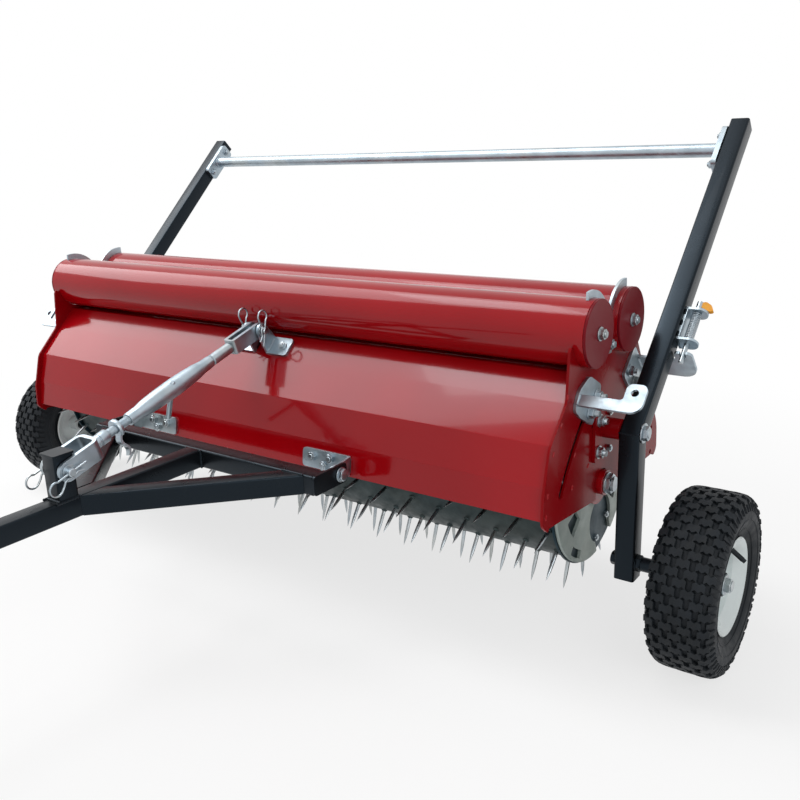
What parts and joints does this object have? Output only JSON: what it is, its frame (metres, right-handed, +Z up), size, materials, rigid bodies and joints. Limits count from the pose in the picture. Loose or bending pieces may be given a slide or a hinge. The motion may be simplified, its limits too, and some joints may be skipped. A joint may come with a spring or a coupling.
{
  "type": "towed spike aerator",
  "caption": "Towed lawn spike aerator: spiked drum under a folded hood, ballast tubes, latched lift frame with turf wheels, hinged drawbar and turnbuckle top link.",
  "frame": {"origin": "on the ground, in the middle of the length and width", "axes": "+Z up, -Y forward along the drawbar, +X to the machine's right seen from the front of the picture"},
  "size_m": [2.0468, 2.0002, 0.9868],
  "materials": {
    "red_paint": "gloss",
    "black_paint": "satin",
    "zinc": "bright zinc plate",
    "drum_steel": "satin",
    "dark_steel": "satin",
    "tyre_rubber": "matt",
    "rim_paint": "satin",
    "amber_plastic": "gloss"
  },
  "bodies": {
    "chassis": {"hood_sheet": "red_paint", "front_tube": "red_paint", "rear_tube": "red_paint", "link_rear_pin": "zinc", "side_plate_right": "red_paint", "front_tube_cap_right": "red_paint", "rear_tube_cap_right": "red_paint", "drum_bearing_right": "red_paint", "tube_clamp_right": "zinc", "pivot_bracket_right": "zinc", "catch_plate_right": "zinc", "hinge_bracket_right": "zinc", "link_ear_right": "zinc", "side_plate_left": "red_paint", "front_tube_cap_left": "red_paint", "rear_tube_cap_left": "red_paint", "drum_bearing_left": "red_paint", "tube_clamp_left": "zinc", "pivot_bracket_left": "zinc", "catch_plate_left": "zinc", "hinge_bracket_left": "zinc", "link_ear_left": "zinc"},
    "drum": {"drum_shell": "drum_steel", "drum_shaft": "zinc", "drum_disc_right": "dark_steel", "drum_end_right": "zinc", "drum_disc_left": "dark_steel", "drum_end_left": "zinc"},
    "lift_frame": {"cross_tube": "zinc", "arm_right": "black_paint", "pivot_pin_right": "zinc", "axle_right": "zinc", "latch_bracket_right": "zinc", "latch_spring_right": "zinc", "arm_left": "black_paint", "pivot_pin_left": "zinc", "axle_left": "zinc", "latch_bracket_left": "zinc", "latch_spring_left": "zinc"},
    "wheel_right": {"tyre_right": "tyre_rubber", "rim_right": "rim_paint"},
    "wheel_left": {"tyre_left": "tyre_rubber", "rim_left": "rim_paint"},
    "latch_right": {"latch_pin_right": "zinc", "latch_tab_right": "amber_plastic"},
    "latch_left": {"latch_pin_left": "zinc", "latch_tab_left": "amber_plastic"},
    "stop_right": {"depth_stop_right": "zinc"},
    "stop_left": {"depth_stop_left": "zinc"},
    "drawbar": {"drawbar_beam": "black_paint", "drawbar_post": "black_paint", "drawbar_crossbar": "black_paint", "drawbar_diagonal_right": "black_paint", "drawbar_diagonal_left": "black_paint", "link_front_pin": "zinc"},
    "hitch": {"hitch_pin": "zinc"},
    "link_rear": {"link_rear_fork": "zinc"},
    "link_turn": {"link_sleeve": "zinc"},
    "link_front": {"link_front_fork": "zinc"},
    "link_lock": {"link_lock_ring": "zinc"}
  },
  "joints": [
    {"name": "drum_spin", "type": "hinge", "parent": "chassis", "child": "drum", "pos_m": [0, 0.41791, 0.317], "axis": [1, 0, 0], "continuous": true},
    {"name": "lift_frame_swing", "type": "hinge", "parent": "chassis", "child": "lift_frame", "pos_m": [0, 0.40991, 0.432], "axis": [1, 0, 0], "range_deg": [0, 90]},
    {"name": "wheel_right_spin", "type": "hinge", "parent": "lift_frame", "child": "wheel_right", "pos_m": [0.962, 0.40591, 0.17], "axis": [1, 0, 0], "continuous": true},
    {"name": "wheel_left_spin", "type": "hinge", "parent": "lift_frame", "child": "wheel_left", "pos_m": [-0.962, 0.40591, 0.17], "axis": [1, 0, 0], "continuous": true},
    {"name": "latch_right_pull", "type": "slide", "parent": "lift_frame", "child": "latch_right", "axis": [0, 0.7242, 0.6896], "range_m": [0, 0.024], "stiffness_N_per_m": 900, "springref_m": -0.015, "deforming": ["latch_spring_right"]},
    {"name": "latch_left_pull", "type": "slide", "parent": "lift_frame", "child": "latch_left", "axis": [0, 0.7242, 0.6896], "range_m": [0, 0.024], "stiffness_N_per_m": 900, "springref_m": -0.015, "deforming": ["latch_spring_left"]},
    {"name": "depth_stop_right_set", "type": "hinge", "parent": "chassis", "child": "stop_right", "pos_m": [0, 0.69491, 0.089], "axis": [1, 0, 0], "range_deg": [0, 15]},
    {"name": "depth_stop_left_set", "type": "hinge", "parent": "chassis", "child": "stop_left", "pos_m": [0, 0.69491, 0.089], "axis": [1, 0, 0], "range_deg": [0, 15]},
    {"name": "hitch_pin_pull", "type": "slide", "parent": "drawbar", "child": "hitch", "axis": [0, 0, 1], "range_m": [0, 0.08]},
    {"name": "sleeve_turn", "type": "hinge", "parent": "link_rear", "child": "link_turn", "pos_m": [0, 0.25991, 0.578], "axis": [0, -0.9565, -0.2916], "range_deg": [-1402, 1402]},
    {"name": "drawbar_pitch", "type": "hinge", "parent": "chassis", "child": "drawbar", "pos_m": [0, 0.13291, 0.345], "axis": [1, 0, 0], "range_deg": [-6, 6]},
    {"name": "link_swing", "type": "hinge", "parent": "chassis", "child": "link_rear", "pos_m": [0, 0.25991, 0.578], "axis": [1, 0, 0], "range_deg": [-3.95, 3.95]},
    {"name": "link_extend", "type": "slide", "parent": "link_rear", "child": "link_front", "axis": [0, -0.9565, -0.2916], "range_m": [-0.0197, 0.0197]},
    {"name": "lock_ring_turn", "type": "hinge", "parent": "link_front", "child": "link_lock", "pos_m": [0, -0.25509, 0.421], "axis": [0, -0.9565, -0.2916], "range_deg": [0, 120]}
  ],
  "couplings": [
    {"joint": "sleeve_turn", "follows": "drawbar_pitch", "ratio": 233.53},
    {"joint": "link_swing", "follows": "drawbar_pitch", "ratio": 0.64817},
    {"joint": "link_extend", "follows": "drawbar_pitch", "m_per_rad": 0.18584}
  ]
}
